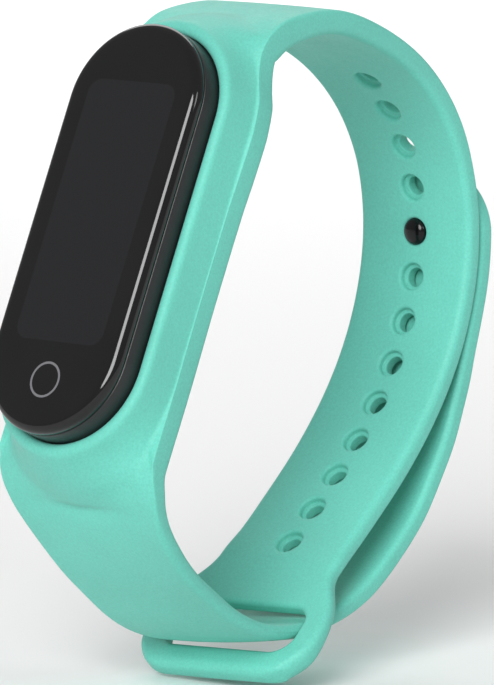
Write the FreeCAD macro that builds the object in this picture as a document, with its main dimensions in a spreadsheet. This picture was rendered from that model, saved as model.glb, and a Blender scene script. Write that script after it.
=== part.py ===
# Fitness tracker band: a removable capsule tracker in a moulded silicone wrist
# band that closes with a stud, worn at the fifth of thirteen holes.
# Millimetres. +X along the wrist, -Y towards the display, +Z up the loop.
# The origin is the middle of the wrist opening.
import FreeCAD, Part
import math, os

V = FreeCAD.Vector
doc = FreeCAD.newDocument("tracker_band")

# ---------------------------------------------------------------- dimensions
sheet = doc.addObject("Spreadsheet::Sheet", "sizes")
SIZES = [
    # capsule outline, across and along, and its levels from the band's inner face
    ("cap_radius", 9.05), ("cap_centres", 28.8), ("back_level", -0.9), ("rim_level", 9.5),
    ("wall_thick", 1.25), ("floor_thick", 1.2), ("cavity_radius", 7.8), ("cavity_centres", 28.8),
    ("glass_thick", 1.35), ("glue_thick", 0.15), ("groove_level", 3.4), ("groove_high", 1.0),
    ("groove_radius", 8.6), ("lip_radius", 8.62),
    # cradle
    ("cradle_half", 11.0), ("slab_thick", 3.0), ("rim_radius", 10.5), ("rim_high", 7.4),
    ("seat_radius", 9.13), ("slab_long", 47.0),
    # strap
    ("strap_thick", 2.2), ("strap_half", 8.0), ("hole_pitch", 5.08), ("throat_radius", 1.075),
    ("mouth_radius", 1.55), ("mouth_deep", 0.8), ("lip_ring_radius", 2.3),
    # keeper
    ("keeper_half", 12.5), ("slot_half", 8.9), ("slot_long", 6.3), ("bar_wide", 3.1),
    ("bar_thick", 2.8), ("keeper_thick", 2.0),
    # stud
    ("stud_shaft", 0.95), ("stud_head", 1.52), ("stud_cap", 3.8), ("stud_cap_thick", 1.0),
    # inside the capsule
    ("board_level", 6.4), ("board_thick", 0.8), ("board_radius", 7.2), ("board_centres", 28.4),
    ("cell_wide", 12.4), ("cell_long", 26.5), ("cell_thick", 4.2), ("cell_level", 1.9),
    ("panel_wide", 12.6), ("panel_long", 31.0), ("panel_thick", 0.85),
    ("chassis_thick", 0.5), ("chassis_radius", 7.5),
    ("window_radius", 4.2), ("window_centre", 2.0), ("pad_radius", 1.1), ("pad_gap", 6.0),
    ("pad_centre", -10.9), ("screw_centre", 19.6), ("boss_radius", 1.3), ("screw_hole", 0.55),
    ("motor_radius", 2.1), ("motor_long", 6.2), ("motor_centre", -15.2), ("motor_level", 3.4),
    ("rotor_radius", 1.95), ("rotor_long", 3.0), ("shaft_radius", 0.4), ("shaft_bore", 0.45),
]
for row, (name, value) in enumerate(SIZES, start=1):
    sheet.set("A%d" % row, name)
    sheet.set("B%d" % row, str(value))
    sheet.setAlias("B%d" % row, name)
doc.recompute()
S = dict(SIZES)

# The capsule's frame: local x across the strap, local y up along the display,
# local z out of the display; zero is the cradle's inner face at its middle.
LEAN = 64.8
UY, UZ = math.cos(math.radians(LEAN)), math.sin(math.radians(LEAN))
CRADLE = FreeCAD.Placement(V(0, -18.8, 8.15), FreeCAD.Rotation(V(1, 0, 0), LEAN))
# rotation about X by LEAN takes local +y to (0, UY, UZ) and +z to (0, -UZ, UY)

def on(x, y, z):
    """A placement in the capsule's frame."""
    return CRADLE.multiply(FreeCAD.Placement(V(x, y, z), FreeCAD.Rotation()))

# ------------------------------------------------------------ sketch helpers
def sketch(body, name, x=None, y=None, z=None):
    s = body.newObject("Sketcher::SketchObject", name)
    plane = [o for o in body.Origin.OriginFeatures if getattr(o, "Role", "") == "XY_Plane"][0]
    s.AttachmentSupport = [(plane, "")]
    s.MapMode = "FlatFace"
    for axis, e in (("x", x), ("y", y), ("z", z)):
        if e is not None:
            s.setExpression("AttachmentOffset.Base." + axis, e)
    return s

def slot_wire(s, r, c, er, ec):
    """A stadium along y: end radius r, end centres c apart."""
    import Sketcher
    K = Sketcher.Constraint
    a = c / 2.0
    b = len(s.Geometry)
    s.addGeometry(Part.ArcOfCircle(Part.Circle(V(0, a, 0), V(0, 0, 1), r), 0, math.pi), False)
    s.addGeometry(Part.ArcOfCircle(Part.Circle(V(0, -a, 0), V(0, 0, 1), r), math.pi, 2 * math.pi), False)
    s.addGeometry(Part.LineSegment(V(r, -a, 0), V(r, a, 0)), False)
    s.addGeometry(Part.LineSegment(V(-r, a, 0), V(-r, -a, 0)), False)
    s.addConstraint(K("Tangent", b, 1, b + 2, 2))
    s.addConstraint(K("Tangent", b, 2, b + 3, 1))
    s.addConstraint(K("Tangent", b + 1, 1, b + 3, 2))
    s.addConstraint(K("Tangent", b + 1, 2, b + 2, 1))
    s.addConstraint(K("PointOnObject", b, 3, -2))
    s.addConstraint(K("Symmetric", b, 3, b + 1, 3, -1, 1))
    s.addConstraint(K("Equal", b, b + 1))
    i = s.addConstraint(K("Radius", b, r))
    s.setExpression("Constraints[%d]" % i, er)
    i = s.addConstraint(K("DistanceY", b + 1, 3, b, 3, c))
    s.setExpression("Constraints[%d]" % i, ec)

def box_wire(s, w, l, ew, el):
    import Sketcher
    K = Sketcher.Constraint
    b = len(s.Geometry)
    p = [V(-w / 2, -l / 2, 0), V(w / 2, -l / 2, 0), V(w / 2, l / 2, 0), V(-w / 2, l / 2, 0)]
    for i in range(4):
        s.addGeometry(Part.LineSegment(p[i], p[(i + 1) % 4]), False)
    for i in range(4):
        s.addConstraint(K("Coincident", b + i, 2, b + (i + 1) % 4, 1))
    for i in (0, 2):
        s.addConstraint(K("Horizontal", b + i))
        s.addConstraint(K("Vertical", b + i + 1))
    s.addConstraint(K("Symmetric", b, 1, b + 2, 1, -1, 1))
    i = s.addConstraint(K("DistanceX", b, 1, b, 2, w))
    s.setExpression("Constraints[%d]" % i, ew)
    i = s.addConstraint(K("DistanceY", b + 1, 1, b + 1, 2, l))
    s.setExpression("Constraints[%d]" % i, el)

def round_wire(s, r, er, x=0.0, y=0.0, ex=None, ey=None):
    import Sketcher
    K = Sketcher.Constraint
    b = len(s.Geometry)
    s.addGeometry(Part.Circle(V(x, y, 0), V(0, 0, 1), r), False)
    i = s.addConstraint(K("Radius", b, r))
    s.setExpression("Constraints[%d]" % i, er)
    if ex is None and ey is None:
        s.addConstraint(K("Coincident", b, 3, -1, 1))
        return
    if ex is None:
        s.addConstraint(K("PointOnObject", b, 3, -2))
    else:
        i = s.addConstraint(K("DistanceX", -1, 1, b, 3, x))
        s.setExpression("Constraints[%d]" % i, ex)
    if ey is None:
        s.addConstraint(K("PointOnObject", b, 3, -1))
    else:
        i = s.addConstraint(K("DistanceY", -1, 1, b, 3, y))
        s.setExpression("Constraints[%d]" % i, ey)

def pad(body, s, expr):
    f = body.newObject("PartDesign::Pad", s.Name + "_pad")
    f.Profile = s
    f.setExpression("Length", expr)
    return f

def cut(body, s, expr, up=False):
    f = body.newObject("PartDesign::Pocket", s.Name + "_cut")
    f.Profile = s
    f.setExpression("Length", expr)
    f.Reversed = up
    return f

def new_body(label, where=CRADLE):
    b = doc.addObject("PartDesign::Body", label)
    b.Label = label
    b.Placement = where
    return b

def block(label, w, l, t, x, y, z, expr=(None, None, None)):
    """A Part::Box centred on x, y in the capsule's frame, standing on level z."""
    o = doc.addObject("Part::Box", label)
    o.Label = label
    o.Length, o.Width, o.Height = w, l, t
    for prop, e in zip(("Length", "Width", "Height"), expr):
        if e:
            o.setExpression(prop, e)
    o.Placement = on(x - w / 2.0, y - l / 2.0, z)
    return o

def rod(label, r, length, where, er=None, el=None):
    o = doc.addObject("Part::Cylinder", label)
    o.Label = label
    o.Radius, o.Height = r, length
    if er:
        o.setExpression("Radius", er)
    if el:
        o.setExpression("Height", el)
    o.Placement = where
    return o

def boolean(kind, label, base, tool):
    o = doc.addObject("Part::" + kind, label)
    o.Label = label
    o.Base, o.Tool = base, tool
    return o

def gather(label, parts):
    o = doc.addObject("Part::MultiFuse", label)
    o.Label = label
    o.Shapes = parts
    return o

def put(label, shape):
    o = doc.addObject("Part::Feature", label)
    o.Label = label
    o.Shape = shape
    return o

nodes = []
def keep(o):
    nodes.append(o)
    return o

# ------------------------------------------------------------ the band's line
# Middle line of the moulding in the Y-Z plane, with thickness and half width.
# From the cradle's top end over the top, down the hole side to the keeper.
HOLE_SIDE = [
    # y, z, thickness, half width
    (-9.12, 31.02, 3.40, 9.25),
    (-7.58, 31.92, 3.45, 9.18),
    (-5.62, 32.52, 3.35, 9.12),
    (-3.01, 32.97, 3.15, 9.05),
    (0.01, 33.15, 2.92, 8.95),
    (3.36, 32.79, 2.78, 8.90),
    (9.24, 30.91, 2.62, 8.75),
    (14.82, 28.16, 2.55, 8.50),
    (19.79, 24.32, 2.50, 8.25),
    (23.67, 19.36, 2.40, 8.10),
    (26.03, 13.52, 2.20, 8.00),
    (26.85, 7.31, 2.20, 8.00),
    (26.14, 1.11, 2.20, 8.00),
    (24.16, -4.77, 2.20, 8.00),
    (21.15, -10.17, 2.20, 8.00),
    (17.37, -15.01, 2.20, 8.00),
    (13.09, -19.36, 2.20, 8.00),
    (8.50, -23.33, 2.18, 8.00),
    (5.42, -25.87, 2.12, 8.05),
]
# From the cradle's lower end down, through the keeper and up to the tail's bend.
PIN_SIDE = [
    (-30.15, -14.80, 2.30, 11.15),
    (-29.45, -17.30, 2.15, 10.80),
    (-28.15, -19.70, 2.10, 10.42),
    (-26.36, -22.05, 2.10, 10.10),
    (-24.73, -23.93, 2.10, 9.80),
    (-22.31, -26.35, 2.10, 9.45),
    (-19.67, -28.50, 2.10, 9.15),
    (-16.45, -30.95, 2.05, 8.90),
    (-12.65, -33.05, 2.00, 8.70),
    (-8.45, -34.42, 1.95, 8.60),
    (-5.32, -34.85, 1.90, 8.55),
    (-1.73, -34.78, 1.90, 8.45),
    (0.85, -34.33, 1.95, 8.30),
    (3.45, -33.55, 2.05, 8.10),
    (6.20, -32.35, 2.15, 7.95),
    (10.22, -30.13, 2.20, 7.80),
    (14.60, -26.80, 2.20, 7.75),
    (18.20, -23.20, 2.20, 7.75),
    (20.76, -19.50, 2.20, 7.75),
    (23.00, -15.80, 2.20, 7.75),
    (24.60, -12.00, 2.20, 7.75),
    (25.60, -9.40, 2.20, 7.75),
]
BEND = V(0, 25.60, -9.40)
TAIL = [
    (25.60, -9.40, 2.20, 7.75),
    (26.50, -6.30, 2.20, 7.75),
    (27.32, -3.70, 2.20, 7.75),
    (27.97, -1.55, 2.20, 7.75),
    (28.55, 0.60, 2.20, 7.75),
    (28.98, 2.80, 2.20, 7.75),
    (29.22, 5.04, 2.20, 7.75),
    (29.30, 7.00, 2.20, 7.75),
    (29.20, 9.60, 2.20, 7.75),
    (28.90, 11.90, 2.15, 7.75),
    (28.38, 14.20, 2.10, 7.75),
    (27.85, 15.90, 2.05, 7.75),
]

def ribbon(rows, first_dir=None, last_dir=None, inner_round=0.8, outer_round=0.5, side=1.0):
    """A moulded strip: rounded-rectangle sections square to a smooth middle line."""
    pts = [V(0, r[0], r[1]) for r in rows]
    curve = Part.BSplineCurve()
    curve.interpolate(Points=pts, InitialTangent=first_dir, FinalTangent=last_dir)
    wires = []
    for i, (y, z, t, w) in enumerate(rows):
        u = curve.parameter(pts[i])
        d = curve.tangent(u)[0]
        n = V(0, -d.z, d.y) * side          # towards the outside of the loop
        o = pts[i]
        X = V(1, 0, 0)
        def at(a, b):
            return o + X * a + n * b
        h = t / 2.0
        ri, ro = min(inner_round, h * 0.92), min(outer_round, h * 0.92)
        k = 1 - math.sqrt(0.5)
        e = []
        e.append(Part.makeLine(at(-w + ri, -h), at(w - ri, -h)))
        e.append(Part.Arc(at(w - ri, -h), at(w - ri * k, -h + ri * k), at(w, -h + ri)).toShape())
        e.append(Part.makeLine(at(w, -h + ri), at(w, h - ro)))
        e.append(Part.Arc(at(w, h - ro), at(w - ro * k, h - ro * k), at(w - ro, h)).toShape())
        e.append(Part.makeLine(at(w - ro, h), at(-w + ro, h)))
        e.append(Part.Arc(at(-w + ro, h), at(-w + ro * k, h - ro * k), at(-w, h - ro)).toShape())
        e.append(Part.makeLine(at(-w, h - ro), at(-w, -h + ri)))
        e.append(Part.Arc(at(-w, -h + ri), at(-w + ri * k, -h + ri * k), at(-w + ri, -h)).toShape())
        wires.append(Part.Wire(e))
    return Part.makeLoft(wires, True, False), curve

# ------------------------------------------------------------ hole strap
UP = V(0, UY, UZ)
KD = V(0, math.cos(math.radians(-135.5)), math.sin(math.radians(-135.5)))   # along the keeper
KEEP_AT = V(0, -1.88, -32.52)
start = CRADLE.multVec(V(0, 23.45, S["slab_thick"] / 2.0))
end = KEEP_AT - KD * 6.2
HOLE_SIDE.insert(0, (start.y, start.z, S["slab_thick"], 9.30))
HOLE_SIDE.append((end.y, end.z, S["keeper_thick"], 8.35))
start = CRADLE.multVec(V(0, -23.5, 1.3))
PIN_SIDE.insert(0, (start.y, start.z, 2.60, 11.10))

# The cradle's raised wall and the seat through it, which also trim the straps.
wall_b = new_body("cradle_wall")
s = sketch(wall_b, "wall_outline", z="sizes.slab_thick - 0.5")
slot_wire(s, S["rim_radius"], S["cap_centres"], "sizes.rim_radius", "sizes.cap_centres")
pad(wall_b, s, "sizes.rim_high - sizes.slab_thick + 0.5")
seat_b = new_body("cradle_seat")
s = sketch(seat_b, "seat_outline")
s.AttachmentOffset = FreeCAD.Placement(V(0, 0, -2), FreeCAD.Rotation())
slot_wire(s, S["seat_radius"], S["cap_centres"], "sizes.seat_radius", "sizes.cap_centres")
pad(seat_b, s, "14")
hole_loft, hole_curve = ribbon(HOLE_SIDE, UP, KD, 0.85, 0.5, side=1.0)
strap_raw = put("hole_strap_strip", hole_loft)
# The thirteen holes: mouth centre on the inner face and the line's slope there.
HOLES = [(17.42, 24.76, -39.5), (20.99, 21.13, -51.7), (23.67, 16.80, -64.9), (25.25, 12.07, -78.0),
         (25.75, 7.01, -90.0), (25.20, 1.94, -101.7), (23.74, -2.94, -111.4), (21.51, -7.52, -120.2),
         (18.72, -11.66, -127.6), (15.40, -15.53, -133.3), (11.75, -19.09, -137.8), (7.88, -22.41, -140.5),
         (3.95, -25.66, -140.0)]
tools = []
for i, (y, z, a) in enumerate(HOLES):
    # local z of this frame points out of the loop, through the strap
    out = V(0, -math.sin(math.radians(a)), math.cos(math.radians(a)))
    turn = FreeCAD.Rotation(V(0, 0, 1), out)
    if i == 4:
        tools.append(rod("worn_hole_room", S["lip_ring_radius"], 6.0,
                         FreeCAD.Placement(V(0, y, z) - out * 2.0, turn), "sizes.lip_ring_radius"))
        continue
    tools.append(rod("throat_%02d" % (i + 1), S["throat_radius"], 6.0,
                     FreeCAD.Placement(V(0, y, z) - out * 2.0, turn), "sizes.throat_radius"))
    tools.append(rod("mouth_%02d" % (i + 1), S["mouth_radius"], 2.0 + S["mouth_deep"],
                     FreeCAD.Placement(V(0, y, z) - out * 2.0, turn), "sizes.mouth_radius",
                     "sizes.mouth_deep + 2"))
root_trim = block("root_trim", 30.0, 20.0, 20.0, 0, 13.45, -8.0)
strap_rooted = boolean("Cut", "strap_rooted", strap_raw, root_trim)
strap_walled = boolean("Cut", "strap_walled", strap_rooted, wall_b)
strap_seated = boolean("Cut", "strap_seated", strap_walled, seat_b)
hole_tools = gather("hole_tools", tools)
hole_strap = keep(boolean("Cut", "hole_strap", strap_seated, hole_tools))

# ------------------------------------------------------------ worn hole's lip
STUD = FreeCAD.Placement(V(0, 25.75, 7.01), FreeCAD.Rotation(V(0, 0, 1), V(0, 1, 0)))
def stud_at(z):
    return STUD.multiply(FreeCAD.Placement(V(0, 0, z), FreeCAD.Rotation()))
lip_body = keep(new_body("worn_hole_lip", STUD))
s = sketch(lip_body, "lip_ring")
s.AttachmentOffset = FreeCAD.Placement(V(0, 0, 0.06), FreeCAD.Rotation())
round_wire(s, S["lip_ring_radius"], "sizes.lip_ring_radius")
round_wire(s, 1.03, "sizes.stud_shaft + 0.08")
pad(lip_body, s, "sizes.strap_thick - 0.12")
s = sketch(lip_body, "lip_mouth")
s.AttachmentOffset = FreeCAD.Placement(V(0, 0, 0.0), FreeCAD.Rotation())
round_wire(s, 1.6, "sizes.stud_head + 0.08")
cut(lip_body, s, "sizes.mouth_deep", up=True)

# ------------------------------------------------------------ pin strap, tail
pin_loft, pin_curve = ribbon(PIN_SIDE, V(0, -UY, -UZ), V(0, 0.33, 0.94), 0.7, 0.5, side=-1.0)
pin_raw = put("pin_strap_strip", pin_loft)
relief = rod("bend_relief", 1.6, 40.0, FreeCAD.Placement(BEND + V(-20, 0, 0), FreeCAD.Rotation(V(0, 1, 0), 90)))
pin_tools = gather("pin_tools", [relief, wall_b, seat_b])
pin_strap = keep(boolean("Cut", "pin_strap", pin_raw, pin_tools))

tail_loft, tail_curve = ribbon(TAIL, V(0, 0.33, 0.94), V(0, -0.30, 0.95), 0.7, 0.5, side=-1.0)
tail_raw = put("tail_strip", tail_loft)
knuckle = rod("tail_knuckle", 1.08, 15.5, FreeCAD.Placement(BEND + V(-7.75, 0, 0), FreeCAD.Rotation(V(0, 1, 0), 90)))
tip_round = rod("tip_round", 7.75, 12.0, stud_at(-3.0))
tip_rest = doc.addObject("Part::Box", "tip_rest")
tip_rest.Length, tip_rest.Width, tip_rest.Height = 20, 20, 24
tip_rest.Placement = FreeCAD.Placement(V(-10, 18, -16.99), FreeCAD.Rotation())
tip_keep = gather("tip_keep", [tip_round, tip_rest])
tail_trim = boolean("Common", "tail_trim", tail_raw, tip_keep)
tail_whole = gather("tail_whole", [tail_trim, knuckle])
tail_bore = rod("tail_bore", 0.95, 8.0, stud_at(1.0), "sizes.stud_shaft")
cap_seat = rod("cap_seat", 3.8, 3.0, stud_at(4.15), "sizes.stud_cap")
tail_tools = gather("tail_tools", [tail_bore, cap_seat])
strap_tail = keep(boolean("Cut", "strap_tail", tail_whole, tail_tools))

# ------------------------------------------------------------ stud and its cap
stud_body = keep(new_body("stud_pin", STUD))
s = sketch(stud_body, "stud_head_disc")
s.AttachmentOffset = FreeCAD.Placement(V(0, 0, -0.65), FreeCAD.Rotation())
round_wire(s, S["stud_head"], "sizes.stud_head")
pad(stud_body, s, "1.35")
s = sketch(stud_body, "stud_shank")
s.AttachmentOffset = FreeCAD.Placement(V(0, 0, 0.6), FreeCAD.Rotation())
round_wire(s, S["stud_shaft"], "sizes.stud_shaft")
pad(stud_body, s, "4.15 - 0.6")
head_edge = stud_body.newObject("PartDesign::Fillet", "stud_dome")
doc.recompute()
shank = doc.getObject("stud_shank_pad")
rim_edges = ["Edge%d" % (i + 1) for i, e in enumerate(shank.Shape.Edges)
             if abs(e.BoundBox.ZMin + 0.65) < 1e-4 and abs(e.BoundBox.ZMax + 0.65) < 1e-4]
head_edge.Base = (shank, rim_edges)
head_edge.Radius = 0.7
cap_body = keep(new_body("stud_cap", STUD))
s = sketch(cap_body, "cap_disc")
s.AttachmentOffset = FreeCAD.Placement(V(0, 0, 4.15), FreeCAD.Rotation())
round_wire(s, S["stud_cap"], "sizes.stud_cap")
pad(cap_body, s, "sizes.stud_cap_thick")

# ------------------------------------------------------------ keeper
# Its frame: local x across, local y along the strap's end, local z outwards.
KN = V(0, -KD.z, KD.y)
KEEPER = FreeCAD.Placement(KEEP_AT, FreeCAD.Rotation(V(1, 0, 0), math.degrees(math.atan2(KD.z, KD.y))))
# rotation about X takes local +y to KD and local +z to (0, -KD.z, KD.y), outwards
keeper = keep(new_body("keeper_loop", KEEPER))
import Sketcher
K = Sketcher.Constraint
s = sketch(keeper, "keeper_outline")
s.AttachmentOffset = FreeCAD.Placement(V(0, 0, -1.0), FreeCAD.Rotation())
hw, y0, y1 = S["keeper_half"], -6.2, S["slot_long"] + S["bar_wide"]
flare = [V(-8.35, y0, 0), V(8.35, y0, 0), V(9.6, -3.2, 0), V(hw, 1.6, 0), V(hw, y1 - 5.0, 0), V(hw - 5.0, y1, 0),
         V(-hw + 5.0, y1, 0), V(-hw, y1 - 5.0, 0), V(-hw, 1.6, 0), V(-9.6, -3.2, 0)]
k = 5.0 * (1 - math.sqrt(0.5))
s.addGeometry(Part.LineSegment(flare[0], flare[1]), False)
s.addGeometry(Part.LineSegment(flare[1], flare[2]), False)
s.addGeometry(Part.LineSegment(flare[2], flare[3]), False)
s.addGeometry(Part.LineSegment(flare[3], flare[4]), False)
s.addGeometry(Part.Arc(flare[4], V(hw - k, y1 - k, 0), flare[5]), False)
s.addGeometry(Part.LineSegment(flare[5], flare[6]), False)
s.addGeometry(Part.Arc(flare[6], V(-hw + k, y1 - k, 0), flare[7]), False)
s.addGeometry(Part.LineSegment(flare[7], flare[8]), False)
s.addGeometry(Part.LineSegment(flare[8], flare[9]), False)
s.addGeometry(Part.LineSegment(flare[9], flare[0]), False)
i = s.addConstraint(K("Vertical", 3))
i = s.addConstraint(K("DistanceX", 7, 2, 3, 1, 2 * hw))
s.setExpression("Constraints[%d]" % i, "2 * sizes.keeper_half")
pad(keeper, s, "sizes.keeper_thick")
s = sketch(keeper, "keeper_bar")
s.AttachmentOffset = FreeCAD.Placement(V(0, S["slot_long"] + S["bar_wide"] / 2.0, -1.3), FreeCAD.Rotation())
box_wire(s, 15.0, S["bar_wide"], "2 * (sizes.keeper_half - 5)", "sizes.bar_wide")
pad(keeper, s, "sizes.bar_thick")
s = sketch(keeper, "keeper_slot")
s.AttachmentOffset = FreeCAD.Placement(V(0, S["slot_long"] / 2.0, 3.0), FreeCAD.Rotation())
box_wire(s, 2 * S["slot_half"], S["slot_long"], "2 * sizes.slot_half", "sizes.slot_long")
cut(keeper, s, "6")

# ------------------------------------------------------------ cradle
# A slab as thick as the strap's root, a raised wall round the capsule, and a
# seat right through with a small lip that snaps into the capsule's groove.
outline = [(11.1, -23.5), (11.15, -15.0), (11.05, -4.0), (11.1, 5.0), (11.38, 13.6), (11.0, 17.7), (10.15, 20.0), (9.55, 21.9),
           (9.3, 23.45)]
slab_pts = [V(x, y, 0) for x, y in outline] + [V(-x, y, 0) for x, y in reversed(outline)]
right = Part.BSplineCurve(); right.interpolate(Points=slab_pts[:9])
left = Part.BSplineCurve(); left.interpolate(Points=slab_pts[9:])
slab_wire = Part.Wire([right.toShape(), Part.makeLine(slab_pts[8], slab_pts[9]), left.toShape(),
                       Part.makeLine(slab_pts[17], slab_pts[0])])
slab = Part.Face(slab_wire).extrude(V(0, 0, S["slab_thick"]))
slab_o = put("cradle_slab", slab)
slab_o.Placement = CRADLE
cradle_solid = gather("cradle_solid", [slab_o, wall_b])
cradle = keep(boolean("Cut", "cradle", cradle_solid, seat_b))

lip_b = keep(new_body("cradle_lip"))
s = sketch(lip_b, "cradle_lip_ring", z="sizes.groove_level + 0.05")
slot_wire(s, S["seat_radius"], S["cap_centres"], "sizes.seat_radius", "sizes.cap_centres")
slot_wire(s, S["lip_radius"], S["cap_centres"], "sizes.lip_radius + 0.03", "sizes.cap_centres")
pad(lip_b, s, "sizes.groove_high - 0.1")

# ------------------------------------------------------------ capsule shell
shell = keep(new_body("capsule_shell"))
s = sketch(shell, "shell_outline", z="sizes.back_level")
slot_wire(s, S["cap_radius"], S["cap_centres"], "sizes.cap_radius", "sizes.cap_centres")
pad(shell, s, "sizes.rim_level - sizes.back_level")
s = sketch(shell, "shell_cavity", z="sizes.rim_level")
slot_wire(s, S["cavity_radius"], S["cavity_centres"], "sizes.cavity_radius", "sizes.cavity_centres")
cut(shell, s, "sizes.rim_level - sizes.back_level - sizes.floor_thick")
s = sketch(shell, "shell_bosses", z="sizes.back_level + sizes.floor_thick - 0.2")
round_wire(s, S["boss_radius"], "sizes.boss_radius", 0, S["screw_centre"], None, "sizes.screw_centre")
round_wire(s, S["boss_radius"], "sizes.boss_radius", 0, -S["screw_centre"], None, "-sizes.screw_centre")
pad(shell, s, "sizes.board_level - sizes.back_level - sizes.floor_thick + 0.2")
s = sketch(shell, "boss_holes", z="sizes.board_level")
round_wire(s, S["screw_hole"], "sizes.screw_hole", 0, S["screw_centre"], None, "sizes.screw_centre")
round_wire(s, S["screw_hole"], "sizes.screw_hole", 0, -S["screw_centre"], None, "-sizes.screw_centre")
cut(shell, s, "4.5")
s = sketch(shell, "window_hole", y="sizes.window_centre")
s.AttachmentOffset = FreeCAD.Placement(V(0, S["window_centre"], 3), FreeCAD.Rotation())
round_wire(s, S["window_radius"], "sizes.window_radius")
cut(shell, s, "6")
s = sketch(shell, "pad_holes")
s.AttachmentOffset = FreeCAD.Placement(V(0, 0, 3), FreeCAD.Rotation())
round_wire(s, S["pad_radius"], "sizes.pad_radius", 3.0, S["pad_centre"], "sizes.pad_gap / 2", "sizes.pad_centre")
round_wire(s, S["pad_radius"], "sizes.pad_radius", -3.0, S["pad_centre"], "-sizes.pad_gap / 2", "sizes.pad_centre")
cut(shell, s, "6")
s = sketch(shell, "side_groove", z="sizes.groove_level")
slot_wire(s, S["cap_radius"] + 1.0, S["cap_centres"], "sizes.cap_radius + 1", "sizes.cap_centres")
slot_wire(s, S["groove_radius"], S["cap_centres"], "sizes.groove_radius", "sizes.cap_centres")
cut(shell, s, "sizes.groove_high", up=True)

# ------------------------------------------------------------ display stack
glue = keep(new_body("display_glue"))
s = sketch(glue, "glue_ring", z="sizes.rim_level")
slot_wire(s, 8.95, S["cap_centres"], "sizes.cap_radius - 0.1", "sizes.cap_centres")
slot_wire(s, S["cavity_radius"], S["cavity_centres"], "sizes.cavity_radius", "sizes.cavity_centres")
pad(glue, s, "sizes.glue_thick")

glass = keep(new_body("display_glass"))
s = sketch(glass, "glass_outline", z="sizes.rim_level + sizes.glue_thick")
slot_wire(s, S["cap_radius"], S["cap_centres"], "sizes.cap_radius", "sizes.cap_centres")
pad(glass, s, "sizes.glass_thick")

panel = keep(new_body("display_panel"))
s = sketch(panel, "panel_outline", z="sizes.rim_level + sizes.glue_thick - sizes.panel_thick")
box_wire(s, S["panel_wide"], S["panel_long"], "sizes.panel_wide", "sizes.panel_long")
pad(panel, s, "sizes.panel_thick")

chassis = keep(new_body("display_chassis"))
s = sketch(chassis, "chassis_outline", z="sizes.rim_level + sizes.glue_thick - sizes.panel_thick - sizes.chassis_thick")
slot_wire(s, S["chassis_radius"], S["cap_centres"], "sizes.chassis_radius", "sizes.cap_centres")
pad(chassis, s, "sizes.chassis_thick")
s = sketch(chassis, "flex_gap")
s.AttachmentOffset = FreeCAD.Placement(V(0, -16.9, 12), FreeCAD.Rotation())
box_wire(s, 7.0, 3.4, "7", "3.4")
cut(chassis, s, "6")

# panel bottom level 8.80, chassis 8.30 to 8.80, board 6.40 to 7.20
flex_a = block("flex_tail", 5.0, 2.6, 0.12, 0, -16.8, 8.68)
flex_b = block("flex_drop", 5.0, 0.12, 1.0, 0, -18.04, 7.8)
flex_c = block("flex_foot", 5.0, 2.2, 0.12, 0, -17.0, 7.8)
display_flex = keep(gather("display_flex", [flex_a, flex_b, flex_c]))
flex_a.Placement = on(-2.5, -18.1, 8.68)
flex_b.Placement = on(-2.5, -18.1, 7.7)
flex_c.Placement = on(-2.5, -18.1, 7.7)
keep(block("display_socket", 6.0, 2.0, 0.5, 0, -16.9, 7.2))

# ------------------------------------------------------------ main board
board = keep(new_body("main_board"))
s = sketch(board, "board_outline", z="sizes.board_level")
slot_wire(s, S["board_radius"], S["board_centres"], "sizes.board_radius", "sizes.board_centres")
pad(board, s, "sizes.board_thick")
s = sketch(board, "board_holes")
s.AttachmentOffset = FreeCAD.Placement(V(0, 0, 9), FreeCAD.Rotation())
round_wire(s, 0.65, "sizes.screw_hole + 0.1", 0, S["screw_centre"], None, "sizes.screw_centre")
round_wire(s, 0.65, "sizes.screw_hole + 0.1", 0, -S["screw_centre"], None, "-sizes.screw_centre")
cut(board, s, "5")
TOP = 7.2
keep(block("radio_processor", 4.6, 4.6, 0.7, -1.9, 3.4, TOP))
keep(block("flash_memory", 3.0, 4.0, 0.6, 3.1, 3.0, TOP))
keep(block("motion_sensor", 2.0, 2.0, 0.7, 3.4, -8.6, TOP))
keep(block("charge_controller", 2.6, 2.6, 0.6, -3.4, -8.2, TOP))
keep(block("touch_controller", 2.8, 2.8, 0.6, 0.2, 12.6, TOP))
crystal = keep(block("clock_crystal", 1.2, 2.0, 0.5, -3.6, -2.2, TOP))
can_out = block("can_out", 11.4, 8.6, 1.0, 0, 3.3, TOP)
can_in = block("can_in", 11.0, 8.2, 0.85, 0, 3.3, TOP)
keep(boolean("Cut", "shield_can", can_out, can_in))
heads, stems = [], []
for i, y in enumerate((S["screw_centre"], -S["screw_centre"])):
    heads.append(rod("screw_head_%d" % i, 0.95, 0.55, on(0, y, TOP)))
    stems.append(rod("screw_stem_%d" % i, 0.5, 4.2, on(0, y, TOP - 4.1)))
keep(gather("board_screws", heads + stems))

# ------------------------------------------------------------ power
cell = keep(block("battery", S["cell_wide"], S["cell_long"], S["cell_thick"], 0, 4.9, S["cell_level"],
                  ("sizes.cell_wide", "sizes.cell_long", "sizes.cell_thick")))
keep(block("battery_foam", 10.0, 24.0, 0.3, 0, 4.9, 6.1))
lead_a = block("lead_foot", 2.6, 1.6, 0.4, 3.6, -9.15, 5.0)
keep(lead_a)
lead_a.Label = "battery_leads"
keep(block("battery_socket", 3.6, 1.5, 1.0, 3.6, -9.3, 5.4))

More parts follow.
